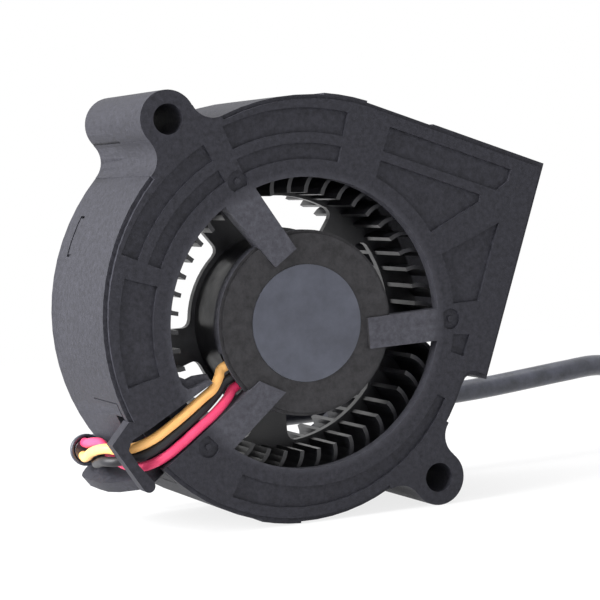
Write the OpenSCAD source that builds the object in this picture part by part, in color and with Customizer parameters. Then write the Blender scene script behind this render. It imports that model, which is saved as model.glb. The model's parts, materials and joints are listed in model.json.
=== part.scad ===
// Double-inlet DC blower fan: a scroll housing in two halves, an external-rotor motor
// on three spokes, and a bladed drum that draws air in at both sides.
// The fan's own plane is x, y with the fan axis at the origin. Depth d runs from
// the front face (d = 0) to the rear face (d = depth).

/* [Housing] */
// Depth of the fan, front face to rear face
depth = 20; // [18:0.5:24]
// Depth at which the front cover meets the rear shell
split_depth = 10; // [9:0.25:11]
// Thickness of the scroll's side wall
wall = 1.5; // [1:0.1:1.8]
// Thickness of the front and rear plates
plate = 1.6; // [1.4:0.1:1.8]
// Width of the rebate round the front face
edge_step = 0.5; // [0.3:0.1:0.8]
// Outer radius of the scroll at its tongue
tongue_r = 21.75; // [21.5:0.05:22.2]
// Height of the outlet's top side above the fan axis
outlet_top = 26.7; // [26:0.1:28]
// Height of the outlet's underside above the fan axis
outlet_bottom = -0.2; // [-0.6:0.1:0.2]
// Distance of the outlet's face from the fan axis
outlet_reach = 24.7; // [24.2:0.1:27]
// Radius of both air inlets
inlet_r = 16.9; // [16.5:0.1:17.2]

/* [Ears] */
// Outer radius of a mounting ear
ear_r = 3.3; // [3:0.1:3.8]
// Diameter of the mounting holes
ear_hole_d = 3.5; // [3:0.1:4.2]
// Upper ear, across from the fan axis
upper_ear_x = -23.1; // [-24:0.1:-22.5]
// Upper ear, up from the fan axis
upper_ear_y = 17.3; // [16.5:0.1:18]
// Lower ear, across from the fan axis
lower_ear_x = 21.7; // [21:0.1:22.5]
// Lower ear, up from the fan axis
lower_ear_y = -13.1; // [-14:0.1:-12.5]
// Radius of the hollow fillets beside an ear
ear_fillet = 2.8; // [2:0.1:3.5]

/* [Front face] */
// Depth of the moulded pockets
pocket_depth = 0.4; // [0.2:0.05:0.6]
// Inner radius of the inner ring of pockets
pocket_inner_r = 18.95; // [18.7:0.05:19.2]
// Outer radius of the inner ring of pockets
pocket_mid_r = 20.8; // [20.4:0.1:21]
// Inner radius of the outer ring of pockets
pocket_rib_r = 22; // [21.8:0.1:22.4]
// Distance from the pockets to the edge of the face
pocket_margin = 1.7; // [1.4:0.1:2]
// Radius of a sunken gate mark
gate_r = 1.25; // [1:0.05:1.4]
// Distance of the gate marks from the fan axis
gate_pitch_r = 18.5; // [18.2:0.1:18.8]

/* [Motor base] */
// Outer radius of the motor base
base_r = 10.8; // [10.4:0.1:11]
// How far the motor base lies behind the front face
base_recess = 0.4; // [0.3:0.05:0.6]
// Thickness of the motor base's disc
base_t = 0.9; // [0.8:0.1:1]
// Depth of the motor base's skirt, from the front face
skirt_depth = 2.4; // [2.2:0.1:2.5]
// Thickness of the skirt
skirt_t = 0.8; // [0.6:0.1:1]
// Depth of a spoke, from the front face
spoke_depth = 2.1; // [1.6:0.1:2.2]
// Radius of the round label
label_r = 6.8; // [6:0.1:7]
// Thickness of the label
label_t = 0.1; // [0.05:0.05:0.2]

/* [Impeller] */
// Number of blades
blade_count = 45; // [36:1:48]
// Radius at the blades' inner edges
blade_inner_r = 15.1; // [14.9:0.1:15.4]
// Radius at the blades' outer edges
blade_outer_r = 18.7; // [18.2:0.1:19]
// Thickness of a blade
blade_t = 0.5; // [0.35:0.05:0.6]
// Angle by which a blade's tip leads its root
blade_lead = 7; // [3:0.5:10]
// Gap between the blades and the plates
blade_gap = 0.9; // [0.7:0.1:1.2]
// Radius of the impeller's hub
hub_r = 10.45; // [10.3:0.05:10.6]
// Thickness of the plate that joins the hub to the blades
web_t = 1; // [0.8:0.1:1.2]
// Number of windows in that plate
window_count = 5; // [4:1:6]
// Width of the arms between the windows, as an angle
arm_angle = 20; // [16:1:26]
// Inner radius of the windows
window_inner_r = 11; // [10.9:0.1:11.5]
// Outer radius of the windows
window_outer_r = 14.8; // [14.4:0.1:14.8]
// Radius of the windows' corners
window_corner_r = 1; // [0.6:0.1:1.4]
// Angle of the first arm, as the impeller stands
first_arm = 66.7; // [0:0.1:72]
// Thickness of the rings that tie the blade ends
tie_ring_t = 0.8; // [0.6:0.1:1.2]

/* [Rotor] */
// Outer radius of the steel rotor cup
cup_r = 9.9; // [9.7:0.05:9.95]
// Thickness of the rotor cup's steel
cup_t = 0.6; // [0.5:0.05:0.7]
// Radial thickness of the magnet ring
magnet_t = 1.25; // [1:0.05:1.3]
// Length of the magnet ring
magnet_l = 5.6; // [5:0.1:6]
// Diameter of the shaft
shaft_d = 2; // [1.9:0.1:2.1]

/* [Bearings] */
// Outer diameter of a bearing
bearing_od = 5; // [4.8:0.1:5.2]
// Width of a bearing
bearing_w = 2.3; // [2:0.1:2.5]
// Wall of the bearing tube
tube_wall = 0.6; // [0.5:0.05:0.8]
// Number of balls in a bearing
ball_count = 7; // [6:1:8]

/* [Stator] */
// Radius over the stator's poles
stator_r = 7.5; // [7.2:0.1:7.6]
// Height of the lamination stack
stack_l = 3.6; // [3:0.1:4]
// Width of a pole's arm
pole_w = 1.8; // [1.4:0.1:2.2]
// Thickness of an insulator's end plate
insulator_t = 0.4; // [0.3:0.05:0.5]
// Build-up of a winding over its insulator
winding_t = 0.8; // [0.6:0.1:0.9]
// Outer radius of the circuit board
board_r = 8.8; // [8.2:0.1:9]
// Thickness of the circuit board
board_t = 0.6; // [0.5:0.1:0.7]

/* [Lead] */
// Diameter of a lead wire
wire_d = 1.15; // [1:0.05:1.15]
// Diameter of the cable sleeve
sleeve_d = 2.8; // [2.7:0.1:3]
// Radius of the coiled sleeve, at the middle of its turns
coil_r = 15.4; // [15:0.1:16]
// Height of the coil, in sleeve diameters
coil_layers = 2; // [2:1:3]

/* [Connector] */
// Width of the connector housing, over three contacts
plug_w = 7.8; // [7:0.1:9]
// Height of the connector housing
plug_h = 4.6; // [4.2:0.1:5.5]
// Length of the connector housing
plug_l = 8; // [7:0.5:10]
// Distance between neighbouring contacts
contact_pitch = 2; // [1.8:0.1:2.2]

/* [Hidden] */

$fn = 64;
eps = 0.01;

black_plastic = [0.17, 0.17, 0.19];
dark_plastic = [0.09, 0.09, 0.10];
steel = [0.72, 0.72, 0.74];
brass = [0.80, 0.65, 0.35];
copper = [0.72, 0.40, 0.20];

// Angles at which the scroll starts at its tongue and meets the outlet's top side
tongue_angle = 355;
scroll_end_angle = 90;
scroll_sweep = tongue_angle - scroll_end_angle;
scroll_step = 5;
// Low pads on the outer wall: height, and where the one at the foot of the scroll is
pad_t = 0.2;
pad_angle = 273;
pad_step = 4;
pad_sweep = 12;

function polar(r, a) = r * [cos(a), sin(a)];
function scroll_r(a) = tongue_r + (outlet_top - tongue_r) * (tongue_angle - a) / scroll_sweep;

// Where a piece of the motor lies along the axis
web_front = (plate + blade_gap + depth - plate - blade_gap - web_t) / 2;
web_rear = web_front + web_t;
blade_front = plate + blade_gap;
blade_rear = depth - plate - blade_gap;
base_rear = base_recess + base_t;
cup_front = skirt_depth + 0.6;
cup_rear = web_rear + cup_t;
hub_front = skirt_depth + 0.45;
tube_front = base_rear;
bearing_r = bearing_od / 2;
front_bearing_d = base_rear + 0.9;
rear_bearing_d = web_rear - 1.5 - bearing_w;
tube_rear = rear_bearing_d + bearing_w;
tube_r = bearing_r + tube_wall;
board_front = base_rear + 0.8;
board_rear = board_front + board_t;
stack_front = (board_rear + cup_rear - cup_t - stack_l) / 2 + 0.25;
stack_rear = stack_front + stack_l;
winding_front = stack_front - insulator_t - winding_t;
shaft_front = base_rear + 0.15;
shaft_rear = cup_rear + 0.5;
magnet_front = (stack_front + stack_rear - magnet_l) / 2;
bush_front = tube_rear + 1;
fit = 0.02;

// Wires. Each route is a list of points: x, y in the fan's plane and the depth d.
mouth_depth = 17;
board_joint_r = board_r - 0.7;
yellow_route = [[-6.6, -6.4, 1.95], [-7.6, -7.2, 1.95], [-8.25, -7.95, 1.9], [-8.45, -8.85, 1.3],
  [-8.95, -10.25, 0.75], [-9.6, -11.2, 0.7], [-10.3, -12.2, 0.7], [-11.6, -14.1, 0.7],
  [-12.85, -15.8, 0.75], [-14.2, -17.5, 0.95], [-15.6, -18.95, 1.95], [-17, -19.75, 2.8],
  [-18.2, -19.95, 3.8], [-18.45, -20.4, 6], [-18.1, -20.95, 9], [-17.4, -21.55, 12],
  [-16.7, -21.85, 14.8], [-16.25, -21.75, 16], [-16.25, -21.75, mouth_depth]];
black_route = [[-5.6, -7.2, 1.95], [-6.5, -8.2, 1.95], [-7.4, -9.25, 2.05], [-7.9, -10.5, 1.75],
  [-8.6, -11.7, 1.4], [-9.3, -12.75, 1.1], [-10.6, -14.65, 1.05], [-11.87, -16.4, 1.05],
  [-13.15, -18.1, 1.2], [-14.35, -19.5, 1.9], [-15.6, -20.35, 2.75], [-16.9, -21.1, 3.5],
  [-17.55, -21.4, 4.8], [-17.3, -21.6, 7], [-16.6, -21.95, 10], [-15.7, -22.1, 13.2],
  [-14.75, -21.75, 16], [-14.75, -21.75, mouth_depth]];
red_route = [[-4.8, -8.15, 1.95], [-5.7, -9.1, 1.95], [-6.3, -9.8, 1.7], [-6.75, -10.75, 1.15],
  [-7.5, -12.1, 0.8], [-8.35, -13.5, 0.7], [-9.65, -15.4, 0.7], [-10.8, -17.15, 0.75],
  [-11.95, -18.75, 0.9], [-13, -20, 1.6], [-14.1, -20.95, 2.65], [-15.2, -21.2, 4],
  [-16.3, -20.9, 5.4], [-17.1, -20.15, 6.9], [-17.35, -19.65, 8.8], [-17.4, -19.8, 11.2],
  [-17.05, -20.1, 14], [-16.5, -20.2, 16], [-16.5, -20.2, mouth_depth]];

// The fan stands on its scroll and its lower ear. The tilt is where both reach the floor.
function scroll_drop(t) = max(concat(
  [for (a = [230 : scroll_step : 330]) scroll_r(a) * sin(t - a)],
  [for (a = [pad_angle : pad_step : pad_angle + pad_sweep]) (scroll_r(a) + pad_t) * sin(t - a)]));
function ear_drop(t) = lower_ear_x * sin(t) - lower_ear_y * cos(t) + ear_r;
function level(lo, hi, n) =
  n == 0 ? (lo + hi) / 2
  : ear_drop((lo + hi) / 2) > scroll_drop((lo + hi) / 2)
    ? level(lo, (lo + hi) / 2, n - 1)
    : level((lo + hi) / 2, hi, n - 1);
tilt = level(5, 35, 24);
axis_height = scroll_drop(tilt);
reach_right = outlet_reach * cos(tilt) + (outlet_top + pad_t) * sin(tilt);
reach_left = max(
  max([for (a = [150 : scroll_step : 250]) -scroll_r(a) * cos(a - tilt)]),
  max([for (q = yellow_route) -q[0] * cos(tilt) - q[1] * sin(tilt) + wire_d / 2]));
axis_x = (reach_left - reach_right) / 2;
function to_row(x, y, d) =
  [axis_x + x * cos(tilt) + y * sin(tilt), d - depth / 2,
   axis_height - x * sin(tilt) + y * cos(tilt)];

module standing() {
  translate([axis_x, -depth / 2, axis_height])
    rotate([0, tilt, 0])
      rotate([90, 0, 0])
        children();
}

// A flat shape of the fan's plane, from one depth to another
module slab(d1, d2) {
  translate([0, 0, -d2])
    linear_extrude(d2 - d1)
      children();
}

module disc(r, d1, d2) {
  translate([0, 0, -d2])
    cylinder(r = r, h = d2 - d1);
}

module ring(r_out, r_in, d1, d2) {
  difference() {
    disc(r_out, d1, d2);
    disc(r_in, d1 - 1, d2 + 1);
  }
}

// A piece of a ring between two angles
module ring_sector(r_in, r_out, a1, a2, d1, d2) {
  translate([0, 0, -d2])
    rotate([0, 0, a1])
      rotate_extrude(angle = a2 - a1)
        translate([r_in, 0])
          square([r_out - r_in, d2 - d1]);
}

// Round stretch of an outline
function arc(c, r, a1, a2, n) = [for (i = [0 : n]) c + polar(r, a1 + (a2 - a1) * i / n)];

// Outer outline of the housing, drawn in by an inset
lip_r = 1;
function outline(inset) = concat(
  [for (a = [scroll_end_angle : scroll_step : tongue_angle]) polar(scroll_r(a) - inset, a)],
  arc([tongue_r + lip_r + 0.05, outlet_bottom - lip_r], lip_r + inset, 180, 90, 4),
  [[outlet_reach - inset, outlet_bottom + inset], [outlet_reach - inset, outlet_top - inset]]
);

// Inside of the scroll, open at the outlet
tongue_tip_angle = 352;
function cavity() = concat(
  [for (a = [scroll_end_angle : scroll_step : tongue_tip_angle - 2])
    polar(scroll_r(a) - wall, a)],
  [polar(scroll_r(tongue_angle) - wall, tongue_angle),
   [tongue_r - wall + 0.35, outlet_bottom + wall - 0.4],
   [tongue_r - wall + 1, outlet_bottom + wall],
   [outlet_reach + 2, outlet_bottom + wall],
   [outlet_reach + 2, outlet_top - wall]]
);

// Mounting ears
upper_ear = [upper_ear_x, upper_ear_y];
lower_ear = [lower_ear_x, lower_ear_y];

ear_step = 0.05;

module ear_shape(c) {
  a = atan2(c.y, c.x) + (c.y < 0 ? 360 : 0);
  r1 = scroll_r(a + 13) + ear_fillet;
  r2 = scroll_r(a - 13) + ear_fillet;
  q = norm(c);
  s = ear_r + ear_fillet;
  f1 = polar(r1, a + acos((q * q + r1 * r1 - s * s) / (2 * q * r1)));
  f2 = polar(r2, a - acos((q * q + r2 * r2 - s * s) / (2 * q * r2)));
  difference() {
    polygon([c * 0.86, f1 * 0.84, f1, c, f2, f2 * 0.84]);
    translate(f1) circle(ear_fillet - ear_step);
    translate(f2) circle(ear_fillet - ear_step);
  }
  translate(c) circle(ear_r);
}

module ears(d1, d2) {
  slab(d1, d2) difference() {
    union() {
      ear_shape(upper_ear);
      ear_shape(lower_ear);
    }
    polygon(cavity());
  }
}

module ear_holes(d1, d2) {
  for (c = [upper_ear, lower_ear])
    translate([c.x, c.y, -d2 - 1])
      cylinder(d = ear_hole_d, h = d2 - d1 + 2);
}

// Stretch of the wall that the cover leaves to the rear shell, where the wires cross
gate_a1 = 217.5;
gate_a2 = 246;
gate_gap = 0.25;

module wall_stretch(a1, a2, d1, d2, grow) {
  slab(d1, d2)
    polygon(concat(
      [for (i = [0 : 8]) polar(scroll_r(a1 + (a2 - a1) * i / 8) + grow, a1 + (a2 - a1) * i / 8)],
      [for (i = [8 : -1 : 0]) polar(scroll_r(a1 + (a2 - a1) * i / 8) - wall - 1.5,
                                   a1 + (a2 - a1) * i / 8)]));
}

// Channel that takes the wires across the front face
channel = [[-9.4, -9.6], [-15.28, -16.55], [-17, -18.4], [-18.5, -22], [-13.3, -22.2],
           [-12.55, -20.96], [-5.7, -10.6], [-5.2, -9.5]];
channel_floor = 1.65;
channel_deep_floor = 3.4;
channel_deep_r = 19.4;
channel_floor_t = 0.45;

module channel_cut() {
  slab(-1, channel_floor)
    polygon(channel);
  difference() {
    slab(channel_floor - 1, channel_deep_floor)
      polygon(channel);
    disc(channel_deep_r, 0, depth);
  }
}

module channel_floors() {
  intersection() {
    union() {
      ring(channel_deep_r + 0.6, inlet_r, channel_floor, channel_floor + channel_floor_t);
      ring(channel_deep_r + 0.6, channel_deep_r, channel_floor,
           channel_deep_floor + channel_floor_t);
      slab(plate - eps, channel_deep_floor + channel_floor_t)
        difference() {
          polygon(cavity());
          circle(channel_deep_r);
        }
    }
    slab(0, depth)
        polygon([[-9, -7], [-19, -17.9], [-12, -23.5], [-4.8, -9.4]]);
  }
}

// Lug along the upper side of the channel, reaching in from the rim of the inlet
lug_depth = 2.1;
lug = [[-14.4, -10.3], [-12.9, -10.9], [-12.1, -11.1], [-11.2, -10.55], [-10, -9.5],
       [-9.4, -9.6], [-14.5, -15.6], [-16, -14]];
lug_step = [[-14.4, -9.9], [-12.1, -10.1], [-11.4, -9.5], [-9.95, -8.85], [-9.35, -9.5],
            [-14.5, -15.6], [-16, -14]];

module lugs() {
  slab(0, lug_depth) polygon(lug);
  slab(1.2, lug_depth + 0.1)
    intersection() {
      polygon(lug_step);
      circle(inlet_r + 1);
    }
}

// Pockets in the front face
module ring_pocket(r_in, r_out, a1, a2) {
  ring_sector(r_in, r_out, a1, a2, -1, pocket_depth);
}

module pocket(points) {
  slab(-1, pocket_depth)
    polygon(points);
}

pocket_top = outlet_top - 1.9;
pocket_side = outlet_reach - 4;

module face_pockets() {
  ring_pocket(pocket_inner_r, pocket_mid_r, 95, 132);
  ring_pocket(pocket_rib_r, scroll_r(114) - pocket_margin + 0.3, 95, 132);
  ring_pocket(pocket_inner_r + 0.2, pocket_mid_r, 139, 177);
  ring_pocket(pocket_rib_r, scroll_r(158) - pocket_margin + 0.4, 139, 177);
  ring_pocket(pocket_inner_r, scroll_r(199) - pocket_margin, 183, 214);
  pocket(concat(
    [for (a = [261 : 8 : 349]) polar(pocket_inner_r, a)],
    [for (a = [349 : -8 : 261]) polar(scroll_r(a) - pocket_margin, a)]));
  pocket([[3.4, pocket_top], [20.4, pocket_top], [20.4, pocket_top - 1.4],
          [19.2, pocket_top - 3], [3.4, pocket_top - 3]]);
  pocket(concat(
    [[17.4, pocket_top - 4.9], [17.3, pocket_top - 4.1], [3.4, pocket_top - 4.1]],
    arc([0, 0], pocket_inner_r, 79.6, 50, 6)));
  pocket(concat(
    [[pocket_side, 8.5], [pocket_side - 0.1, 18.2]],
    arc([0, 0], pocket_inner_r, 41, 22.5, 4)));
  pocket([polar(pocket_inner_r, 11.5), polar(pocket_inner_r, 5),
          [pocket_side, 1.6], [pocket_side, 4.3]]);
}

gate_angles = [17, 135, 245];

module gate_marks() {
  for (a = gate_angles)
    rotate([0, 0, a])
      translate([gate_pitch_r, 0, 0]) {
        difference() {
          disc(gate_r, -1, 0.35);
          disc(0.35, 0.1, 1);
        }
      }
}

// Spokes: direction, its two sides at the motor, its two sides at the rim, and where the
// two corners of the inner end are
spokes = [[146, -4.3, -1, -4.8, -0.5, 7.6, 7.6], [22, -3.9, -0.3, -4, -0.2, 7.6, 7.6],
          [236.5, 1.2, 4.3, 1.1, 5.05, 8.8, 7.2]];
spoke_end = inlet_r + 0.6;

module spoke(s) {
  rotate([0, 0, s[0]])
    slab(0, spoke_depth)
      polygon([[s[5], s[1]], [spoke_end, s[3]], [spoke_end, s[4]], [s[6], s[2]]]);
}

// Notch in the skirt, through which the wires leave the motor
notch_a1 = 215;
notch_a2 = 243;

module motor_base() {
  difference() {
    union() {
      difference() {
        union() {
          disc(base_r - 0.4, base_recess, base_rear);
          disc(base_r, base_recess + 0.4, base_rear);
          ring(base_r, base_r - skirt_t, base_rear - 0.1, skirt_depth);
        }
        ring_sector(base_r - skirt_t - 0.3, base_r + 1, notch_a1, notch_a2,
                    base_rear, skirt_depth + 1);
      }
      intersection() {
        union() {
          for (s = spokes)
            spoke(s);
        }
        union() {
          disc(inlet_r + 0.7, 0, base_rear);
          ring(inlet_r + 0.7, base_r - skirt_t, 0, spoke_depth);
        }
      }
    }
    disc(bearing_r + 0.1, -1, depth);
  }
}

// Hook that holds the wires at the edge of the cover
hook_t = 2;
hook_end = [-13.5, -22.75];
hook_end_r = 0.72;
hook_points = [[-17.9, -16.4], [-19.05, -19.45], [-14.05, -23.25], [-13, -22.2],
               [-15.35, -20.8], [-17, -19.45], [-17, -18.4], [-14.6, -15.8]];

module hook() {
  slab(0, hook_t) {
    polygon(hook_points);
    translate(hook_end) circle(hook_end_r);
  }
}

// Low pads on the outer wall, over the snap tabs
module pads(d1, d2) {
  slab(d1, d2) {
    translate([9, outlet_top - 0.5])
      square([outlet_reach - 9, 0.5 + pad_t]);
    for (a1 = [90, pad_angle])
      polygon(concat(
        [for (a = [a1 : pad_step : a1 + pad_sweep]) polar(scroll_r(a) + pad_t, a)],
        [for (a = [a1 + pad_sweep : -pad_step : a1]) polar(scroll_r(a) - 0.5, a)]));
  }
}

module cover_shell() {
  difference() {
    union() {
      slab(edge_step, split_depth) polygon(outline(0));
      slab(0, edge_step + eps) polygon(outline(edge_step));
      ears(0, split_depth);
      pads(edge_step, split_depth);
    }
    slab(plate, depth) polygon(cavity());
    disc(inlet_r, -1, depth);
    face_pockets();
    gate_marks();
    ear_holes(0, split_depth);
    wall_stretch(gate_a1, gate_a2, plate, depth, 1);
  }
}

module front_cover() {
  color(black_plastic)
    standing() {
      difference() {
        union() {
          cover_shell();
          channel_floors();
          lugs();
          hook();
        }
        difference() {
          channel_cut();
          hook();
        }
      }
      motor_base();
    }
}

// Rear shell
// Fin that holds the wires and the sleeve in from below: direction, thickness, and its
// side view as depth and distance from the fan axis
fin_a = 238;
fin_t = 1.5;
fin_root_r = 23.2;
fin_corner_r = 1.8;
fin_front = 2.4;
fin_rear = 20;
fin_profile = concat(
  [[fin_front, fin_root_r], [fin_front, 26.1], [4.5, 26.9], [8.6, 28], [11.7, 28.5],
   [14.5, 28.6]],
  [for (a = [0 : 22.5 : 90])
    [fin_rear - fin_corner_r + fin_corner_r * sin(a), 26.8 + fin_corner_r * cos(a)]],
  [[fin_rear, fin_root_r]]);

module fin() {
  rotate([0, 0, fin_a])
    rotate([90, 0, 0])
      mirror([0, 0, 1])
        linear_extrude(fin_t)
          polygon([for (q = fin_profile) [q[1], -q[0]]]);
}

module raised_wall() {
  difference() {
    intersection() {
      slab(plate + gate_gap, split_depth + eps) polygon(outline(0));
      wall_stretch(gate_a1 + 0.3, gate_a2 - 0.4, plate, split_depth + 1, 1.5);
    }
    slab(0, depth) polygon(cavity());
    slab(0, channel_deep_floor + channel_floor_t + 0.2)
      polygon([[-8, -6], [-19.9, -17.8], [-20, -26], [-13, -25], [-11.9, -22.5]]);
  }
}

module snap_slot() {
  for (a = [167.5, 178.5])
    ring_sector(scroll_r(173) - 0.4, scroll_r(a) + 2, a, a + 0.7, 15.2, 16.4);
  ring_sector(scroll_r(173) - 0.4, scroll_r(173) + 2, 167.5, 179.2, 16.2, 16.6);
}

module rear_shell() {
  color(black_plastic)
    standing()
      difference() {
        union() {
          slab(split_depth, depth) polygon(outline(0));
          ears(split_depth, depth);
          raised_wall();
          fin();
          pads(split_depth, depth - 1);
        }
        slab(0, depth - plate) polygon(cavity());
        disc(inlet_r, 0, depth + 1);
        ear_holes(split_depth, depth);
        snap_slot();
      }
}

module label() {
  color([0.45, 0.47, 0.53])
    standing()
      disc(label_r, base_recess - label_t, base_recess);
}

// Bearings
module bearing_tube() {
  color(brass)
    standing()
      ring(tube_r, bearing_r, tube_front, tube_rear);
}

race_gap_in = shaft_d / 2 + (bearing_r - shaft_d / 2) * 0.3;
race_gap_out = shaft_d / 2 + (bearing_r - shaft_d / 2) * 0.7;
ball_r = (race_gap_out - race_gap_in) / 2 - fit;

module outer_race(d) {
  ring(bearing_r - fit, race_gap_out, d, d + bearing_w);
}

module inner_race(d) {
  ring(race_gap_in, shaft_d / 2 + fit / 2, d, d + bearing_w);
}

module front_bearing() {
  color(steel)
    standing()
      outer_race(front_bearing_d);
}

module rear_bearing() {
  color(steel)
    standing()
      outer_race(rear_bearing_d);
}

module front_bearing_inner() {
  color(steel)
    standing()
      inner_race(front_bearing_d);
}

module rear_bearing_inner() {
  color(steel)
    standing()
      inner_race(rear_bearing_d);
}

module bearing_balls() {
  color(steel)
    standing()
      for (d = [front_bearing_d, rear_bearing_d], i = [1 : ball_count])
        rotate([0, 0, i * 360 / ball_count])
          translate([(race_gap_in + race_gap_out) / 2, 0, -d - bearing_w / 2])
            sphere(r = ball_r, $fn = 24);
}

// Stator
pole_count = 4;
shoe_t = 0.9;
shoe_angle = 74;
core_r = tube_r + 1;
winding_r1 = core_r + 0.35;
winding_r2 = stator_r - shoe_t - 0.3;

module pole_shape(w, r) {
  translate([core_r - 0.5, -w / 2])
    square([r - core_r, w]);
}

module stator_core() {
  color([0.55, 0.56, 0.60])
    standing() {
      ring(core_r, tube_r + fit, stack_front, stack_rear);
      for (i = [1 : pole_count])
        rotate([0, 0, i * 360 / pole_count]) {
          slab(stack_front, stack_rear) pole_shape(pole_w, stator_r);
          ring_sector(stator_r - shoe_t, stator_r, -shoe_angle / 2, shoe_angle / 2,
                      stack_front, stack_rear);
        }
    }
}

module insulator(d) {
  ring(core_r, tube_r + fit, d, d + insulator_t);
  for (i = [1 : pole_count])
    rotate([0, 0, i * 360 / pole_count]) {
      slab(d, d + insulator_t) pole_shape(pole_w + 0.4, stator_r);
      ring_sector(stator_r - shoe_t, stator_r - 0.1, -shoe_angle / 2 + 3, shoe_angle / 2 - 3,
                  d, d + insulator_t);
    }
}

module front_insulator() {
  color([0.92, 0.90, 0.82])
    standing()
      insulator(stack_front - insulator_t);
}

module rear_insulator() {
  color([0.92, 0.90, 0.82])
    standing()
      insulator(stack_rear);
}

// Rounded rectangle about the origin
module round_rect(w, h, r) {
  square([w - 2 * r, h], center = true);
  square([w, h - 2 * r], center = true);
  for (x = [-1, 1], y = [-1, 1])
    translate([x * (w / 2 - r), y * (h / 2 - r)])
      circle(r);
}

module windings() {
  inner_w = pole_w + 0.5;
  inner_h = stack_l + 2 * insulator_t + 0.04;
  color(copper)
    standing()
      for (i = [1 : pole_count])
        rotate([0, 0, i * 360 / pole_count])
          translate([winding_r1, 0, -(stack_front + stack_rear) / 2])
            rotate([90, 0, 90])
              linear_extrude(winding_r2 - winding_r1)
                difference() {
                  round_rect(inner_w + 2 * winding_t, inner_h + 2 * winding_t, 0.5);
                  square([inner_w, inner_h], center = true);
                }
}

pin_r = 0.25;
pin_pitch_r = stator_r - 1;

module winding_pins() {
  color(brass)
    standing()
      for (i = [1 : pole_count])
        rotate([0, 0, i * 360 / pole_count + 28])
          translate([pin_pitch_r, 0, 0])
            disc(pin_r, board_front - 0.4, stack_front - insulator_t);
}

module circuit_board() {
  color([0.10, 0.35, 0.18])
    standing()
      difference() {
        ring(board_r, tube_r + 0.1, board_front, board_rear);
        for (i = [1 : pole_count])
          rotate([0, 0, i * 360 / pole_count + 28])
            translate([pin_pitch_r, 0, 0])
              disc(pin_r + 0.05, 0, depth);
      }
}

// A flat package on the board's rear side: angle, distance, size along and across
module package(a, r, l, w, h) {
  rotate([0, 0, a])
    translate([r - l / 2, -w / 2, -board_rear - h])
      cube([l, w, h]);
}

module hall_sensor() {
  color(dark_plastic)
    standing()
      package(135, 6.9, 1.4, 2, 0.5);
}

module driver_chip() {
  color(dark_plastic)
    standing() {
      package(315, 6.2, 3, 3, 0.6);
      for (y = [-1, -0.33, 0.33, 1])
        rotate([0, 0, 315])
          translate([0, y, 0])
            package(0, 6.2, 4, 0.25, 0.2);
    }
}

module chip_capacitors() {
  color([0.62, 0.50, 0.36])
    standing()
      for (a = [45, 70, 225])
        package(a, 6.8, 0.8, 1.6, 0.4);
}

// Sleeve: from its mouth beside the fin, behind the housing and down to the coil.
// Points on the floor the fan stands on.
sleeve_r = sleeve_d / 2;
mouth_r = 1.95;
mouth_x = -16;
mouth_y = -21;
sleeve_route = [to_row(mouth_x, mouth_y, mouth_depth), to_row(mouth_x, mouth_y, mouth_depth + 0.8),
  to_row(mouth_x, mouth_y, mouth_depth + 1.9),
  [-25.3, 10.1, 8.62], [-24.6, 11.5, 8.65], [-23.4, 12.7, 8.7], [-21.7, 13.4, 8.8],
  [-18.5, 13.8, 9], [-12, 13.8, 9.3], [-4, 13.5, 9.6],
  [5, 13.1, 9.75], [14, 12.8, 9.9], [21, 12.7, 10.05], [27, 12.7, 10.18],
  [32.2, 12.9, 10.45], [38, 13, 10.92], [43.5, 13.2, 11.35], [49, 14.3, 11.5],
  [54, 16.3, 10.5], [59, 19.2, 8.2], [63.5, 22.2, 5], [67.5, 24.8, 2.5],
  [71.5, 26.5, sleeve_r], [77, 27.6, sleeve_r], [80.5, 27.8, sleeve_r], [84, 27.8, sleeve_r]];
sleeve_radii = [for (i = [0 : len(sleeve_route) - 1])
  i == 0 ? mouth_r : i == 1 ? mouth_r - 0.1 : i == 2 ? (mouth_r + sleeve_r) / 2 : sleeve_r];
coil_x = 84;
coil_y = 27.8 - coil_r;
tail_y = coil_y - coil_r;
tail_z = sleeve_r * (2 * coil_layers - 1);
plug_x = 58.5;
plug_y = tail_y;
tail_route = [[coil_x, tail_y, tail_z], [coil_x - 5, tail_y, tail_z],
  [coil_x - 10, tail_y, tail_z + 0.05], [coil_x - 14, tail_y, tail_z - 0.6],
  [coil_x - 17, tail_y, tail_z - 1.85], [coil_x - 18.5, tail_y, tail_z - 1.85]];
coil_gap = 46;

// Tube swept along a list of points by rings square to the route
function unit(v) = v / norm(v);
function heading(p, i) =
  unit(p[min(i + 1, len(p) - 1)] - p[max(i - 1, 0)]);
function side(t, up) = unit(cross(t, up));
function radius(r, i) = is_list(r) ? r[i] : r;
function tube_ring(p, i, r, n, up) =
  let (t = heading(p, i), u = side(t, up), v = cross(t, u))
    [for (k = [0 : n - 1])
      p[i] + radius(r, i) * (cos(k * 360 / n) * u + sin(k * 360 / n) * v)];

module tube(p, r, n, up = [0, 0, 1]) {
  polyhedron(
    points = [for (i = [0 : len(p) - 1]) each tube_ring(p, i, r, n, up)],
    faces = concat(
      [[for (k = [0 : n - 1]) k]],
      [[for (k = [n - 1 : -1 : 0]) (len(p) - 1) * n + k]],
      [for (i = [0 : len(p) - 2], k = [0 : n - 1], h = [0, 1])
        h == 0
          ? [i * n + k, (i + 1) * n + k, (i + 1) * n + (k + 1) % n]
          : [i * n + k, (i + 1) * n + (k + 1) % n, i * n + (k + 1) % n]]),
    convexity = 6);
}

wire_sides = 8;
function to_local(p) = [for (q = p) [q[0], q[1], -q[2]]];

module wire(route) {
  standing()
    tube(to_local(route), wire_d / 2, wire_sides, [0.8, -0.6, 0]);
}

module yellow_wire() {
  color([0.93, 0.75, 0.28])
    wire(yellow_route);
}

module black_wire() {
  color([0.06, 0.06, 0.06])
    wire(black_route);
}

module red_wire() {
  color([0.82, 0.12, 0.25])
    wire(red_route);
}

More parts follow.
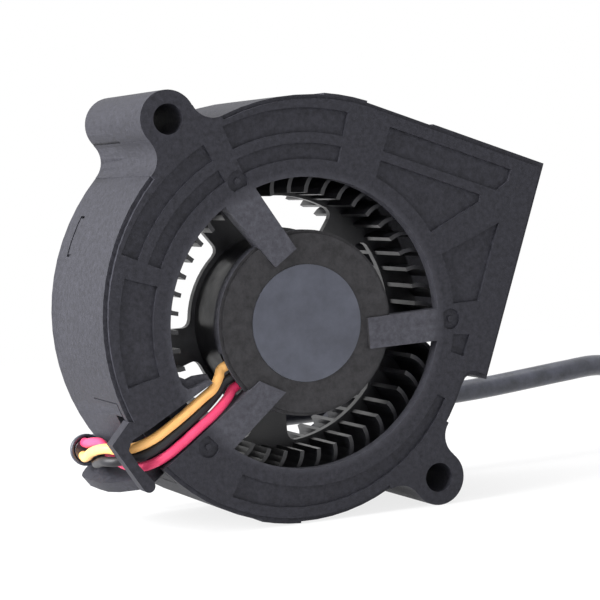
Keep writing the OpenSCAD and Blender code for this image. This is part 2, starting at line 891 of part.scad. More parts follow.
module solder_joints() {
  color([0.78, 0.78, 0.80])
    standing()
      for (p = [yellow_route[0], black_route[0], red_route[0]])
        translate([p.x * 0.9, p.y * 0.9, 0])
          disc(0.55, board_front - 0.35, board_front);
}

module cable_sleeve() {
  color([0.10, 0.10, 0.10])
    tube(sleeve_route, sleeve_radii, wire_sides);
}

// The coil's lowest layer starts where the sleeve comes in, and its top layer stops where
// the tail goes out
module coil_notch(a1, a2, z1, z2) {
  translate([0, 0, z1])
    linear_extrude(z2 - z1)
      polygon([[0, 0], polar(2 * coil_r, a1), polar(2.4 * coil_r, (a1 + a2) / 2),
               polar(2 * coil_r, a2)]);
}

module cable_coil() {
  color([0.10, 0.10, 0.10])
    translate([coil_x, coil_y, 0])
      difference() {
        rotate_extrude()
          translate([coil_r - sleeve_r, 0])
            square([sleeve_d, coil_layers * sleeve_d]);
        coil_notch(90, 90 + coil_gap, -1, sleeve_d);
        coil_notch(270 - coil_gap, 270, (coil_layers - 1) * sleeve_d, coil_layers * sleeve_d + 1);
      }
}

module cable_tail() {
  color([0.10, 0.10, 0.10])
    tube(tail_route, sleeve_r, wire_sides);
}

// Connector, lying on the floor with its wires towards the coil
plug_z = tail_z - 1.85;
lead_spread = 0.93;
lead_x1 = plug_x + plug_l / 2;
lead_x2 = coil_x - 18.5;

module lead_ends() {
  color([0.82, 0.12, 0.25])
    for (i = [-1, 0, 1])
      translate([lead_x1, plug_y, plug_z])
        tube([[0, i * contact_pitch, 0], [0.6, i * contact_pitch, 0],
              [lead_x2 - lead_x1 - 0.6, i * lead_spread, 0],
              [lead_x2 - lead_x1, i * lead_spread, 0]], 0.45, wire_sides);
}

module connector_housing() {
  color([0.90, 0.89, 0.84])
    translate([plug_x, plug_y, 0])
      difference() {
        union() {
          translate([-plug_l / 2, -plug_w / 2, 0])
            cube([plug_l, plug_w, plug_h - 0.6]);
          translate([-plug_l / 2 + 1, -plug_w / 2, 0])
            cube([plug_l - 1, plug_w, plug_h]);
          translate([-plug_l / 2 + 2, -1.2, plug_h])
            cube([plug_l - 3.5, 2.4, 0.6]);
        }
        for (i = [-1, 0, 1])
          translate([-plug_l / 2 - 1, i * contact_pitch - 0.6, plug_z - 0.6])
            cube([plug_l - 2, 1.2, 1.2]);
      }
}

module connector_contacts() {
  color(brass)
    for (i = [-1, 0, 1])
      translate([plug_x - plug_l / 2 + 0.6, plug_y + i * contact_pitch, plug_z])
        difference() {
          translate([0, -0.5, -0.5])
            cube([plug_l - 3.6, 1, 1]);
          translate([-1, -0.3, -0.3])
            cube([plug_l - 4, 0.6, 0.6]);
        }
}

// Impeller
blade_stations = 5;
tip_step = 0.06;

function blade_angle(s) = -blade_lead * s * s;
function blade_radius(s) = blade_inner_r + (blade_outer_r - tip_step - blade_inner_r) * s;
function blade_side(sign) =
  [for (i = [0 : blade_stations])
    let (s = i / blade_stations, r = blade_radius(s))
      polar(r, blade_angle(s) + sign * blade_t / 2 / r * 180 / PI)];

module blade_shape() {
  left = blade_side(1);
  right = blade_side(-1);
  polygon(concat(left, [for (i = [blade_stations : -1 : 0]) right[i]]));
}

module window_shape() {
  half = 180 / window_count - arm_angle / 2;
  r1 = window_inner_r + window_corner_r;
  r2 = window_outer_r - window_corner_r;
  a1 = half - asin(window_corner_r / r1);
  a2 = half - asin(window_corner_r / r2);
  polygon(concat(
    arc([0, 0], window_inner_r, -a1, a1, 8),
    arc(polar(r1, a1), window_corner_r, a1 + 150, a1 + 90, 3),
    arc(polar(r2, a2), window_corner_r, a2 + 90, a2 + 10, 3),
    arc([0, 0], window_outer_r, a2, -a2, 10),
    arc(polar(r2, -a2), window_corner_r, -a2 - 10, -a2 - 90, 3),
    arc(polar(r1, -a1), window_corner_r, -a1 - 90, -a1 - 150, 3)));
}

module impeller() {
  color(dark_plastic)
    standing() {
      slab(blade_front, blade_rear)
        for (i = [1 : blade_count])
          rotate([0, 0, i * 360 / blade_count])
            blade_shape();
      ring(blade_outer_r, blade_outer_r - tie_ring_t, blade_front, blade_front + tie_ring_t);
      ring(blade_outer_r, blade_outer_r - tie_ring_t, blade_rear - tie_ring_t, blade_rear);
      difference() {
        ring(blade_outer_r, hub_r - 0.2, web_front, web_rear);
        for (i = [1 : window_count])
          rotate([0, 0, first_arm + (i + 0.5) * 360 / window_count])
            slab(0, depth)
              window_shape();
      }
      ring(hub_r, cup_r + fit, hub_front, cup_rear);
    }
}

module rotor_cup() {
  color([0.30, 0.30, 0.32])
    standing() {
      ring(cup_r, cup_r - cup_t, cup_front, cup_rear);
      difference() {
        disc(cup_r, web_rear, cup_rear);
        disc(shaft_d / 2 + 1.4, 0, depth);
      }
    }
}

module magnet_ring() {
  color([0.20, 0.20, 0.22])
    standing()
      ring(cup_r - cup_t - fit, cup_r - cup_t - magnet_t, magnet_front, magnet_front + magnet_l);
}

module shaft_bush() {
  color(brass)
    standing() {
      ring(shaft_d / 2 + 1.4 - fit, shaft_d / 2 + fit / 2, bush_front, cup_rear + 0.3);
    }
}

groove_front = front_bearing_d - 0.4;
groove_w = 0.34;

module shaft() {
  color(steel)
    standing()
      difference() {
        disc(shaft_d / 2, shaft_front, shaft_rear);
        ring(shaft_d, shaft_d / 2 - 0.25, groove_front, groove_front + groove_w);
      }
}

module retaining_ring() {
  color(steel)
    standing()
      difference() {
        ring(shaft_d / 2 + 0.9, shaft_d / 2 - 0.23, groove_front + 0.02,
             groove_front + groove_w - 0.02);
        slab(0, depth)
          translate([0, -0.5])
            square([4, 1]);
      }
}

spring_wire_r = 0.12;
spring_turns = 2.5;
spring_r = shaft_d / 2 + spring_wire_r + 0.1;
spring_steps = 14;

module preload_spring() {
  h = bush_front - tube_rear - 2 * spring_wire_r - 0.04;
  color(steel)
    standing()
      tube([for (i = [0 : spring_turns * spring_steps])
        let (a = i * 360 / spring_steps)
          [spring_r * cos(a), spring_r * sin(a),
           -tube_rear - spring_wire_r - 0.02 - h * i / (spring_turns * spring_steps)]],
        spring_wire_r, 6);
}

front_cover();
rear_shell();
label();
bearing_tube();
front_bearing();
rear_bearing();
bearing_balls();
stator_core();
front_insulator();
rear_insulator();
windings();
winding_pins();
circuit_board();
hall_sensor();
driver_chip();
chip_capacitors();
solder_joints();
yellow_wire();
black_wire();
red_wire();
cable_sleeve();
cable_coil();
cable_tail();
lead_ends();
connector_housing();
connector_contacts();
impeller();
rotor_cup();
magnet_ring();
shaft();
shaft_bush();
front_bearing_inner();
rear_bearing_inner();
preload_spring();
retaining_ring();
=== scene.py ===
"""Small centrifugal DC blower: looks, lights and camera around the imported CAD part."""

import json
import math

import bmesh
import bpy
from mathutils import Matrix, Vector


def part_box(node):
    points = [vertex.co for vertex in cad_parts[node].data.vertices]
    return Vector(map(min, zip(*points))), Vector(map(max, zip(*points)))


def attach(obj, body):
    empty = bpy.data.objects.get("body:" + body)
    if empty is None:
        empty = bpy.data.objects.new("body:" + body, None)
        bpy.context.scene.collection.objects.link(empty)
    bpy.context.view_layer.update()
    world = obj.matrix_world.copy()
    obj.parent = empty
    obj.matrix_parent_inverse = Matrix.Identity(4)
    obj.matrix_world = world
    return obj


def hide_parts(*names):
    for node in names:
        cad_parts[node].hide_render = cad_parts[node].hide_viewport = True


MM = 0.001
LEAN = 20.438  # degrees that the fan leans as it stands on its scroll and lower ear

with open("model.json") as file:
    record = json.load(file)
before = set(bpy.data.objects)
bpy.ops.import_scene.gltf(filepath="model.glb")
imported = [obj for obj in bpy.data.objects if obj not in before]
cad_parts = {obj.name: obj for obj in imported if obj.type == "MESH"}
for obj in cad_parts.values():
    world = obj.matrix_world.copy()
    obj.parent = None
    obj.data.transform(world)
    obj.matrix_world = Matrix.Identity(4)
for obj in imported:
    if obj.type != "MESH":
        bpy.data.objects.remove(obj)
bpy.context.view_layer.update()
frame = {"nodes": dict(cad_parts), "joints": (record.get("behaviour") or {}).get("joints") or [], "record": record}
nodes = frame["nodes"]
spin = frame["joints"][0]
axis = Vector(spin["pos_m"])
front_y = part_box("front_cover")[0].y
tilt = math.radians(LEAN)


def fan_point(x, y, d):
    """A point of the fan's own plane, x right and y up before it is tilted, at depth d (mm)."""
    return Vector((
        axis.x + (x * math.cos(tilt) + y * math.sin(tilt)) * MM,
        front_y + d * MM,
        axis.z + (-x * math.sin(tilt) + y * math.cos(tilt)) * MM,
    ))


def link(obj):
    bpy.context.scene.collection.objects.link(obj)
    return obj


# Camera
CAMERA_PLACE = Vector((-100.43155, -231.2384, 43.02868)) * MM
CAMERA_AHEAD = Vector((0.39750372, 0.91498993, -0.06916802))
CAMERA_RIGHT = Vector((0.91391, -0.40153241, -0.05949986))


def make_camera():
    data = bpy.data.cameras.new("camera")
    data.lens = 125.9
    data.sensor_width = 36
    data.shift_x = -0.00425
    data.shift_y = -0.00612
    data.clip_start = 0.01
    up = CAMERA_RIGHT.cross(CAMERA_AHEAD)
    turn = Matrix((CAMERA_RIGHT, up, -CAMERA_AHEAD)).transposed().to_4x4()
    camera = link(bpy.data.objects.new("camera", data))
    camera.matrix_world = Matrix.Translation(CAMERA_PLACE) @ turn
    bpy.context.scene.camera = camera


make_camera()


# Curves and tubes
FLAT_CORNERS = 8


def smooth_path(points, step):
    """Points along a Catmull-Rom curve through the given ones, about step apart."""
    out = []
    ends = [points[0] * 2 - points[1]] + list(points) + [points[-1] * 2 - points[-2]]
    for i in range(1, len(ends) - 2):
        p0, p1, p2, p3 = ends[i - 1:i + 3]
        count = max(1, round((p2 - p1).length / step))
        for k in range(count):
            t = k / count
            out.append(0.5 * (2 * p1 + (p2 - p0) * t + (2 * p0 - 5 * p1 + 4 * p2 - p3) * t * t
                              + (3 * p1 - p0 - 3 * p2 + p3) * t ** 3))
    out.append(points[-1].copy())
    return out


def tube(name, path, radius, sides=20):
    """A round tube along path, its rings carried from one to the next without twisting."""
    mesh = bmesh.new()
    normal = None
    rings = []
    for i, point in enumerate(path):
        ahead = (path[min(i + 1, len(path) - 1)] - path[max(i - 1, 0)]).normalized()
        if normal is None:
            normal = ahead.orthogonal().normalized()
        normal = (normal - ahead * normal.dot(ahead)).normalized()
        side = ahead.cross(normal)
        turns = [2 * math.pi * k / sides for k in range(sides)]
        rings.append([mesh.verts.new(point + radius * (math.cos(a) * normal + math.sin(a) * side))
                      for a in turns])
    for low, high in zip(rings, rings[1:]):
        for k in range(sides):
            n = (k + 1) % sides
            mesh.faces.new((low[k], low[n], high[n], high[k]))
    mesh.faces.new(list(reversed(rings[0])))
    mesh.faces.new(rings[-1])
    return finish_mesh(name, mesh)


def finish_mesh(name, mesh):
    """A new object from a bmesh, smooth except where a face has many corners, as a flat has."""
    bmesh.ops.recalc_face_normals(mesh, faces=mesh.faces)
    data = bpy.data.meshes.new(name)
    mesh.to_mesh(data)
    mesh.free()
    for face in data.polygons:
        face.use_smooth = len(face.vertices) < FLAT_CORNERS
    return link(bpy.data.objects.new(name, data))


# Cable
SLEEVE_R = 1.4
COIL_R = 15.4
COIL_X = 84
COIL_Y = 27.8 - COIL_R
MOUTH_X = -16
MOUTH_Y = -21
MOUTH = fan_point(MOUTH_X, MOUTH_Y, 17)
COIL_TRAVEL = 540
CLIMB_START = 300
CLIMB = 40

sleeve_points = [fan_point(MOUTH_X, MOUTH_Y, d) for d in (17, 17.8, 18.9)] + [
    Vector(p) * MM for p in (
        (-25.3, 10.1, 8.62), (-24.6, 11.5, 8.65), (-23.4, 12.7, 8.7), (-21.7, 13.4, 8.8),
        (-18.5, 13.8, 9), (-12, 13.8, 9.3), (-4, 13.5, 9.6), (5, 13.1, 9.75), (14, 12.8, 9.9),
        (21, 12.7, 10.05), (27, 12.7, 10.18), (32.2, 12.9, 10.45), (38, 13, 10.92),
        (43.5, 13.2, 11.35), (49, 14.3, 11.5), (54, 16.3, 10.5), (59, 19.2, 8.2),
        (63.5, 22.2, 5), (67.5, 24.8, 2.5), (71.5, 26.5, 1.4), (77, 27.6, 1.4),
        (80.5, 27.8, 1.4))]
tail_points = [Vector(p) * MM for p in (
    (79, -3, 4.2), (74, -3, 4.2), (70, -3, 3.6), (67, -3, 2.35), (65.5, -3, 2.35))]


def coil_point(travel):
    """A point of the coil, travel degrees after its start. It climbs where it meets its start."""
    t = min(max((travel - CLIMB_START) / CLIMB, 0), 1)
    level = t * t * (3 - 2 * t)
    a = math.radians(90 - travel)
    return Vector((COIL_X + COIL_R * math.cos(a), COIL_Y + COIL_R * math.sin(a),
                   SLEEVE_R * (1 + 2 * level))) * MM


def make_cable():
    """The sleeve in one piece, from its mouth behind the fan, round the coil, to its free end."""
    coil = [coil_point(t) for t in range(0, COIL_TRAVEL + 1, 10)]
    path = smooth_path(sleeve_points + coil + tail_points, 0.8 * MM)
    for point in path:
        point.z = max(point.z, SLEEVE_R * MM)
    sleeve = tube("lead_sleeve", path, SLEEVE_R * MM, 24)
    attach(sleeve, "housing")
    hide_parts("cable_sleeve", "cable_coil", "cable_tail")
    return sleeve


lead_sleeve = make_cable()


# Materials: shared effects
def group(name, inputs, outputs):
    tree = bpy.data.node_groups.new(name, "ShaderNodeTree")
    for label, kind, value in inputs:
        socket = tree.interface.new_socket(label, in_out="INPUT", socket_type=kind)
        socket.default_value = value
    for label, kind in outputs:
        tree.interface.new_socket(label, in_out="OUTPUT", socket_type=kind)
    return tree


def node(tree, kind, place, **values):
    made = tree.nodes.new(kind)
    made.location = place
    for key, value in values.items():
        if hasattr(made, key):
            setattr(made, key, value)
        else:
            made.inputs[key.replace("_", " ")].default_value = value
    return made


def grain_group():
    """Fine moulded grain over a slower unevenness, as a surface normal."""
    tree = group("grain", [("Grain", "NodeSocketFloat", 2500), ("Depth", "NodeSocketFloat", 0.3),
                           ("Wave", "NodeSocketFloat", 120)], [("Normal", "NodeSocketVector")])
    start = node(tree, "NodeGroupInput", (-900, 0))
    end = node(tree, "NodeGroupOutput", (500, 0))
    place = node(tree, "ShaderNodeTexCoord", (-900, -300))
    fine = node(tree, "ShaderNodeTexNoise", (-600, 200), Detail=3.0, Roughness=0.6)
    slow = node(tree, "ShaderNodeTexNoise", (-600, -200), Detail=2.0)
    low = node(tree, "ShaderNodeBump", (-250, -200), Strength=0.04, Distance=0.0004)
    high = node(tree, "ShaderNodeBump", (100, 100), Distance=0.00006)
    tree.links.new(place.outputs["Object"], fine.inputs["Vector"])
    tree.links.new(place.outputs["Object"], slow.inputs["Vector"])
    tree.links.new(start.outputs["Grain"], fine.inputs["Scale"])
    tree.links.new(start.outputs["Wave"], slow.inputs["Scale"])
    tree.links.new(slow.outputs["Fac"], low.inputs["Height"])
    tree.links.new(fine.outputs["Fac"], high.inputs["Height"])
    tree.links.new(start.outputs["Depth"], high.inputs["Strength"])
    tree.links.new(low.outputs["Normal"], high.inputs["Normal"])
    tree.links.new(high.outputs["Normal"], end.inputs["Normal"])
    return tree


def mottle_group():
    """Two colours mixed by cloudy patches, and a value that follows the patches."""
    tree = group("mottle", [("Dark", "NodeSocketColor", (0.02, 0.02, 0.02, 1)),
                            ("Light", "NodeSocketColor", (0.05, 0.05, 0.05, 1)),
                            ("Size", "NodeSocketFloat", 300), ("Low", "NodeSocketFloat", 0.4),
                            ("High", "NodeSocketFloat", 0.6)],
                 [("Color", "NodeSocketColor"), ("Roughness", "NodeSocketFloat")])
    start = node(tree, "NodeGroupInput", (-900, 0))
    end = node(tree, "NodeGroupOutput", (500, 0))
    place = node(tree, "ShaderNodeTexCoord", (-900, -300))
    cloud = node(tree, "ShaderNodeTexNoise", (-600, 0), Detail=6.0, Roughness=0.7)
    steps = node(tree, "ShaderNodeValToRGB", (-350, 0))
    steps.color_ramp.elements[0].position = 0.35
    steps.color_ramp.elements[1].position = 0.65
    mix = node(tree, "ShaderNodeMix", (100, 100), data_type="RGBA")
    rough = node(tree, "ShaderNodeMapRange", (100, -200))
    tree.links.new(place.outputs["Object"], cloud.inputs["Vector"])
    tree.links.new(start.outputs["Size"], cloud.inputs["Scale"])
    tree.links.new(cloud.outputs["Fac"], steps.inputs["Fac"])
    tree.links.new(steps.outputs["Color"], mix.inputs["Factor"])
    tree.links.new(start.outputs["Dark"], mix.inputs["A"])
    tree.links.new(start.outputs["Light"], mix.inputs["B"])
    tree.links.new(steps.outputs["Color"], rough.inputs["Value"])
    tree.links.new(start.outputs["Low"], rough.inputs["To Min"])
    tree.links.new(start.outputs["High"], rough.inputs["To Max"])
    tree.links.new(mix.outputs["Result"], end.inputs["Color"])
    tree.links.new(rough.outputs["Result"], end.inputs["Roughness"])
    return tree


def zone_group():
    """1 on the spokes, fading to 0 on the rest of the face, by the distance from the fan's axis."""
    tree = group("zone", [("Middle", "NodeSocketVector", (0, 0, 0)),
                          ("Reach", "NodeSocketFloat", 0.0165)], [("Zone", "NodeSocketFloat")])
    start = node(tree, "NodeGroupInput", (-900, 0))
    end = node(tree, "NodeGroupOutput", (500, 0))
    place = node(tree, "ShaderNodeTexCoord", (-900, -300))
    away = node(tree, "ShaderNodeVectorMath", (-650, -100), operation="SUBTRACT")
    flat = node(tree, "ShaderNodeVectorMath", (-450, -100), operation="MULTIPLY")
    flat.inputs[1].default_value = (1, 0, 1)
    far = node(tree, "ShaderNodeVectorMath", (-250, -100), operation="LENGTH")
    over = node(tree, "ShaderNodeMath", (-50, -100), operation="SUBTRACT")
    fade = node(tree, "ShaderNodeMapRange", (200, -100))
    fade.inputs["From Min"].default_value = -0.0006
    fade.inputs["From Max"].default_value = 0.0012
    fade.inputs["To Min"].default_value = 1.0
    fade.inputs["To Max"].default_value = 0.0
    tree.links.new(place.outputs["Object"], away.inputs[0])
    tree.links.new(start.outputs["Middle"], away.inputs[1])
    tree.links.new(away.outputs[0], flat.inputs[0])
    tree.links.new(flat.outputs[0], far.inputs[0])
    tree.links.new(far.outputs["Value"], over.inputs[0])
    tree.links.new(start.outputs["Reach"], over.inputs[1])
    tree.links.new(over.outputs[0], fade.inputs["Value"])
    tree.links.new(fade.outputs["Result"], end.inputs["Zone"])
    return tree


GRAIN = grain_group()
ZONE = zone_group()
MOTTLE = mottle_group()
COAT_ROUGHNESS = 0.25
# patch size of the painted sheen on the spokes
SPOKE_SHEEN_SIZE = 1300


def material(name, dark, light, size=300, rough=(0.4, 0.6), grain=2500, depth=0.3, wave=120,
             metal=0.0, specular=0.5, coat=0.0):
    """A mottled, finely grained finish between two colours and two roughnesses."""
    made = bpy.data.materials.new(name)
    made.use_nodes = True
    tree = made.node_tree
    shader = tree.nodes["Principled BSDF"]
    shader.inputs["Metallic"].default_value = metal
    shader.inputs["Specular IOR Level"].default_value = specular
    shader.inputs["Coat Weight"].default_value = coat
    shader.inputs["Coat Roughness"].default_value = COAT_ROUGHNESS
    colours = tree.nodes.new("ShaderNodeGroup")
    colours.node_tree = MOTTLE
    colours.location = (-400, 100)
    colours.inputs["Dark"].default_value = (*dark, 1)
    colours.inputs["Light"].default_value = (*light, 1)
    colours.inputs["Size"].default_value = size
    colours.inputs["Low"].default_value = rough[0]
    colours.inputs["High"].default_value = rough[1]
    surface = tree.nodes.new("ShaderNodeGroup")
    surface.node_tree = GRAIN
    surface.location = (-400, -250)
    surface.inputs["Grain"].default_value = grain
    surface.inputs["Depth"].default_value = depth
    surface.inputs["Wave"].default_value = wave
    tree.links.new(colours.outputs["Color"], shader.inputs["Base Color"])
    tree.links.new(colours.outputs["Roughness"], shader.inputs["Roughness"])
    tree.links.new(surface.outputs["Normal"], shader.inputs["Normal"])
    return made


MATERIALS = {
    "housing_plastic": material("housing_plastic", (0.011, 0.011, 0.015), (0.027, 0.027, 0.035),
                                1700, (0.52, 0.70), 2600, 1.0, 150, specular=0.22),
    "impeller_plastic": material("impeller_plastic", (0.010, 0.010, 0.012),
                                 (0.022, 0.022, 0.026), 350, (0.30, 0.45), 2200, 0.2, 200),
    "label_film": material("label_film", (0.036, 0.039, 0.054), (0.056, 0.061, 0.082), 250,
                           (0.36, 0.46), 1500, 0.08, 90),
    "brass": material("brass", (0.55, 0.38, 0.14), (0.72, 0.52, 0.22), 500, (0.2, 0.34), 3000,
                      0.1, 150, metal=1.0),
    "bearing_steel": material("bearing_steel", (0.50, 0.50, 0.52), (0.64, 0.64, 0.66), 600,
                              (0.14, 0.26), 3000, 0.06, 200, metal=1.0),
    "lamination_steel": material("lamination_steel", (0.22, 0.22, 0.24), (0.36, 0.36, 0.38), 700,
                                 (0.3, 0.5), 4000, 0.3, 400, metal=1.0),
    "insulator_plastic": material("insulator_plastic", (0.50, 0.48, 0.40), (0.62, 0.60, 0.52),
                                  300, (0.4, 0.55), 1800, 0.25),
    "enamelled_copper": material("enamelled_copper", (0.42, 0.12, 0.035), (0.62, 0.22, 0.07),
                                 1500, (0.22, 0.36), 6000, 0.5, 900, metal=0.8, coat=0.3),
    "board": material("board", (0.02, 0.10, 0.045), (0.04, 0.16, 0.07), 400, (0.3, 0.42), 2500,
                      0.15, coat=0.2),
    "chip_plastic": material("chip_plastic", (0.015, 0.015, 0.016), (0.03, 0.03, 0.032), 900,
                             (0.45, 0.6), 5000, 0.3),
    "capacitor_ceramic": material("capacitor_ceramic", (0.32, 0.20, 0.11), (0.45, 0.31, 0.19),
                                  900, (0.3, 0.45), 4000, 0.2),
    "solder": material("solder", (0.55, 0.55, 0.58), (0.70, 0.70, 0.72), 900, (0.18, 0.34), 2500,
                       0.3, metal=1.0),
    "yellow_insulation": material("yellow_insulation", (0.74, 0.38, 0.115), (0.83, 0.47, 0.165),
                                  260, (0.40, 0.52), 1600, 0.12, 160, specular=0.35),
    "black_insulation": material("black_insulation", (0.010, 0.010, 0.012), (0.02, 0.02, 0.024),
                                 260, (0.42, 0.56), 1600, 0.12, 160, specular=0.3),
    "red_insulation": material("red_insulation", (0.62, 0.032, 0.11), (0.74, 0.065, 0.16), 260,
                               (0.40, 0.52), 1600, 0.12, 160, specular=0.35),
    "sleeve": material("sleeve", (0.022, 0.024, 0.034), (0.060, 0.064, 0.086), 420,
                       (0.28, 0.46), 900, 0.6, 350, coat=0.1),
    "connector_plastic": material("connector_plastic", (0.70, 0.67, 0.57), (0.80, 0.77, 0.68),
                                  300, (0.34, 0.48), 1800, 0.15),
    "cup_steel": material("cup_steel", (0.16, 0.16, 0.17), (0.27, 0.27, 0.28), 500,
                          (0.26, 0.42), 2600, 0.2, metal=1.0),
    "magnet": material("magnet", (0.03, 0.03, 0.033), (0.055, 0.055, 0.06), 500, (0.4, 0.55),
                       3000, 0.4),
}

MATERIALS["base_plastic"] = material("base_plastic", (0.013, 0.0125, 0.014),
                                     (0.030, 0.029, 0.032), 1100, (0.50, 0.68), 2600, 0.9, 150,
                                     specular=0.25)


def paint_spoke_sheen(plastic, dark, light):
    """Gives a plastic two other, lighter colours on the spokes than on the face: a painted sheen."""
    tree = plastic.node_tree
    shader = tree.nodes["Principled BSDF"]
    face = shader.inputs["Base Color"].links[0].from_node
    zone = tree.nodes.new("ShaderNodeGroup")
    zone.node_tree = ZONE
    zone.inputs["Middle"].default_value = axis
    spoke_sheen = tree.nodes.new("ShaderNodeGroup")
    spoke_sheen.node_tree = MOTTLE
    spoke_sheen.inputs["Dark"].default_value = (*dark, 1)
    spoke_sheen.inputs["Light"].default_value = (*light, 1)
    spoke_sheen.inputs["Size"].default_value = SPOKE_SHEEN_SIZE
    mix = tree.nodes.new("ShaderNodeMix")
    mix.data_type = "RGBA"
    tree.links.new(zone.outputs["Zone"], mix.inputs["Factor"])
    tree.links.new(face.outputs["Color"], mix.inputs["A"])
    tree.links.new(spoke_sheen.outputs["Color"], mix.inputs["B"])
    tree.links.new(mix.outputs["Result"], shader.inputs["Base Color"])


# painted sheen: the spokes take lighter colours than the rest of the face
paint_spoke_sheen(MATERIALS["housing_plastic"], (0.034, 0.034, 0.042), (0.062, 0.062, 0.075))

# Each CAD node takes the finish that the record names
for part in frame["record"]["subparts"]:
    slots = nodes[part["node"]].data.materials
    slots.clear()
    slots.append(MATERIALS[part["material_slot"]])


def dress(piece, slot_name):
    piece.data.materials.clear()
    piece.data.materials.append(MATERIALS[slot_name])


dress(lead_sleeve, "sleeve")

# Wires in the channel
WIRE_R = 0.575
yellow_points = [
    (-6.6, -6.4, 1.95), (-7.6, -7.2, 1.95), (-8.25, -7.95, 1.9), (-8.45, -8.85, 1.3),
    (-8.95, -10.25, 0.75), (-9.6, -11.2, 0.7), (-10.3, -12.2, 0.7), (-11.6, -14.1, 0.7),
    (-12.85, -15.8, 0.75), (-14.2, -17.5, 0.95), (-15.6, -18.95, 1.95), (-17, -19.75, 2.8),
    (-18.2, -19.95, 3.8), (-18.45, -20.4, 6), (-18.1, -20.95, 9), (-17.4, -21.55, 12),
    (-16.7, -21.85, 14.8), (-16.25, -21.75, 16), (-16.25, -21.75, 17)]
black_points = [
    (-5.6, -7.2, 1.95), (-6.5, -8.2, 1.95), (-7.4, -9.25, 2.05), (-7.9, -10.5, 1.75),
    (-8.6, -11.7, 1.4), (-9.3, -12.75, 1.1), (-10.6, -14.65, 1.05), (-11.87, -16.4, 1.05),
    (-13.15, -18.1, 1.2), (-14.35, -19.5, 1.9), (-15.6, -20.35, 2.75), (-16.9, -21.1, 3.5),
    (-17.55, -21.4, 4.8), (-17.3, -21.6, 7), (-16.6, -21.95, 10), (-15.7, -22.1, 13.2),
    (-14.75, -21.75, 16), (-14.75, -21.75, 17)]
red_points = [
    (-4.8, -8.15, 1.95), (-5.7, -9.1, 1.95), (-6.3, -9.8, 1.7), (-6.75, -10.75, 1.15),
    (-7.5, -12.1, 0.8), (-8.35, -13.5, 0.7), (-9.65, -15.4, 0.7), (-10.8, -17.15, 0.75),
    (-11.95, -18.75, 0.9), (-13, -20, 1.6), (-14.1, -20.95, 2.65), (-15.2, -21.2, 4),
    (-16.3, -20.9, 5.4), (-17.1, -20.15, 6.9), (-17.35, -19.65, 8.8), (-17.4, -19.8, 11.2),
    (-17.05, -20.1, 14), (-16.5, -20.2, 16), (-16.5, -20.2, 17)]


def make_wire(colour, points):
    path = smooth_path([fan_point(*p) for p in points], 0.25 * MM)
    wire = tube(f"{colour}_lead", path, WIRE_R * MM, 20)
    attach(wire, "housing")
    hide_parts(f"{colour}_wire")
    dress(wire, f"{colour}_insulation")


make_wire("yellow", yellow_points)
make_wire("black", black_points)
make_wire("red", red_points)


# Sleeve's open mouth, flared round the wires
def make_mouth():
    profile = ((17.02, 1.62), (17.02, 1.88), (17.12, 1.93), (17.7, 1.86), (18.4, 1.64),
               (18.85, 1.45), (18.3, 1.35), (17.6, 1.44), (17.1, 1.54))
    mesh = bmesh.new()
    rim = [mesh.verts.new((MOUTH.x + r * MM, front_y + d * MM, MOUTH.z)) for d, r in profile]
    edges = [mesh.edges.new(pair) for pair in zip(rim, rim[1:] + rim[:1])]
    bmesh.ops.spin(mesh, geom=rim + edges, cent=MOUTH, axis=(0, 1, 0), angle=2 * math.pi,
                   steps=28, use_merge=True)
    bmesh.ops.remove_doubles(mesh, verts=mesh.verts, dist=0.000001)
    mouth = finish_mesh("sleeve_mouth", mesh)
    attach(mouth, "housing")
    dress(mouth, "sleeve")


make_mouth()


# Moulded edges: the two shells with their corners eased
EASE_WIDTH = 0.09 * MM
EASE_ANGLE = math.radians(35)
BASE_REACH = 10.4 * MM


def eased(node_name):
    source = nodes[node_name]
    mesh = bmesh.new()
    mesh.from_mesh(source.data)
    bmesh.ops.remove_doubles(mesh, verts=mesh.verts, dist=0.000002)
    bmesh.ops.dissolve_limit(mesh, angle_limit=math.radians(0.5), verts=mesh.verts,
                             edges=mesh.edges)
    piece = finish_mesh(f"{node_name}_moulding", mesh)
    ease = piece.modifiers.new("ease", "BEVEL")
    ease.width = EASE_WIDTH
    ease.segments = 2
    ease.limit_method = "ANGLE"
    ease.angle_limit = EASE_ANGLE
    ease.use_clamp_overlap = True
    normals = piece.modifiers.new("normals", "WEIGHTED_NORMAL")
    normals.keep_sharp = True
    bpy.context.view_layer.objects.active = piece
    piece.select_set(True)
    bpy.ops.object.convert(target="MESH")
    piece.select_set(False)
    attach(piece, "housing")
    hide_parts(node_name)
    dress(piece, "housing_plastic")
    return piece


def brown_base(cover):
    """The motor base is browner and more mottled than the grained face round it."""
    cover.data.materials.append(MATERIALS["base_plastic"])
    for face in cover.data.polygons:
        away = face.center - axis
        if math.hypot(away.x, away.z) < BASE_REACH:
            face.material_index = 1


brown_base(eased("front_cover"))
eased("rear_shell")


# Floor, light and background
FLOOR_DROP = 0.02 * MM
FLOOR_SIZE = 3
NEAR_GLOW = 0.8
NEAR_REACH = 0.05
FAR_REACH = 0.22
ROOM_LEVEL = 0.20
LAMP_TARGET = Vector((0, 0, 0.025))
LAMP_SIZE = 0.30


def shown_ray(tree):
    """1 for a ray that shows the background itself: to the camera, or by mirror or glass."""
    path = tree.nodes.new("ShaderNodeLightPath")
    shown = path.outputs["Is Camera Ray"]
    for kind in ("Is Glossy Ray", "Is Transmission Ray"):
        either = tree.nodes.new("ShaderNodeMath")
        either.operation = "MAXIMUM"
        tree.links.new(shown, either.inputs[0])
        tree.links.new(path.outputs[kind], either.inputs[1])
        shown = either.outputs[0]
    return shown


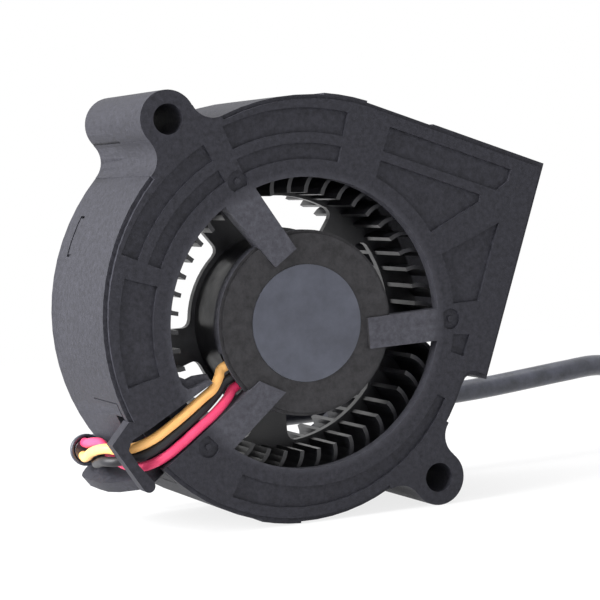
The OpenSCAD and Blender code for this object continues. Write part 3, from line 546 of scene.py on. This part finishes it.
def make_stage():
    """White paper that keeps a soft shadow near the fan and has no far edge."""
    mesh = bmesh.new()
    bmesh.ops.create_grid(mesh, x_segments=1, y_segments=1, size=FLOOR_SIZE)
    bmesh.ops.translate(mesh, verts=mesh.verts, vec=(0, 0, -FLOOR_DROP))
    floor = finish_mesh("floor", mesh)
    paper = bpy.data.materials.new("paper")
    paper.use_nodes = True
    tree = paper.node_tree
    matte = tree.nodes["Principled BSDF"]
    matte.inputs["Base Color"].default_value = (0.86, 0.86, 0.87, 1)
    matte.inputs["Roughness"].default_value = 0.9
    glow = tree.nodes.new("ShaderNodeEmission")
    glow.inputs["Color"].default_value = (1, 1, 1, 1)
    place = tree.nodes.new("ShaderNodeTexCoord")
    reach = tree.nodes.new("ShaderNodeVectorMath")
    reach.operation = "LENGTH"
    share = tree.nodes.new("ShaderNodeMapRange")
    share.inputs["From Min"].default_value = NEAR_REACH
    share.inputs["From Max"].default_value = FAR_REACH
    share.inputs["To Min"].default_value = NEAR_GLOW
    share.inputs["To Max"].default_value = 1.0
    shown = tree.nodes.new("ShaderNodeMath")
    shown.operation = "MULTIPLY"
    mix = tree.nodes.new("ShaderNodeMixShader")
    tree.links.new(place.outputs["Object"], reach.inputs[0])
    tree.links.new(reach.outputs["Value"], share.inputs["Value"])
    tree.links.new(shown_ray(tree), shown.inputs[0])
    tree.links.new(share.outputs["Result"], shown.inputs[1])
    tree.links.new(shown.outputs[0], mix.inputs["Fac"])
    tree.links.new(matte.outputs[0], mix.inputs[1])
    tree.links.new(glow.outputs[0], mix.inputs[2])
    tree.links.new(mix.outputs[0], tree.nodes["Material Output"].inputs["Surface"])
    floor.data.materials.append(paper)


def make_world():
    world = bpy.data.worlds.new("studio")
    bpy.context.scene.world = world
    world.use_nodes = True
    tree = world.node_tree
    back = tree.nodes["Background"]
    level = tree.nodes.new("ShaderNodeMapRange")
    level.inputs["To Min"].default_value = ROOM_LEVEL
    level.inputs["To Max"].default_value = 1.0
    back.inputs["Color"].default_value = (1, 1, 1, 1)
    tree.links.new(shown_ray(tree), level.inputs["Value"])
    tree.links.new(level.outputs["Result"], back.inputs["Strength"])


def area_light(name, place, power):
    data = bpy.data.lights.new(name, "AREA")
    data.size = LAMP_SIZE
    data.energy = power
    lamp = link(bpy.data.objects.new(name, data))
    lamp.location = place
    lamp.rotation_euler = (LAMP_TARGET - Vector(place)).to_track_quat("-Z", "Y").to_euler()


make_stage()
make_world()
area_light("left", (-0.42, 0.0, 0.20), 7.0)
area_light("front", (-0.10, -0.50, 0.30), 0.7)
area_light("top", (0.05, 0.0, 0.50), 2.0)

bpy.context.scene.view_settings.view_transform = "Standard"
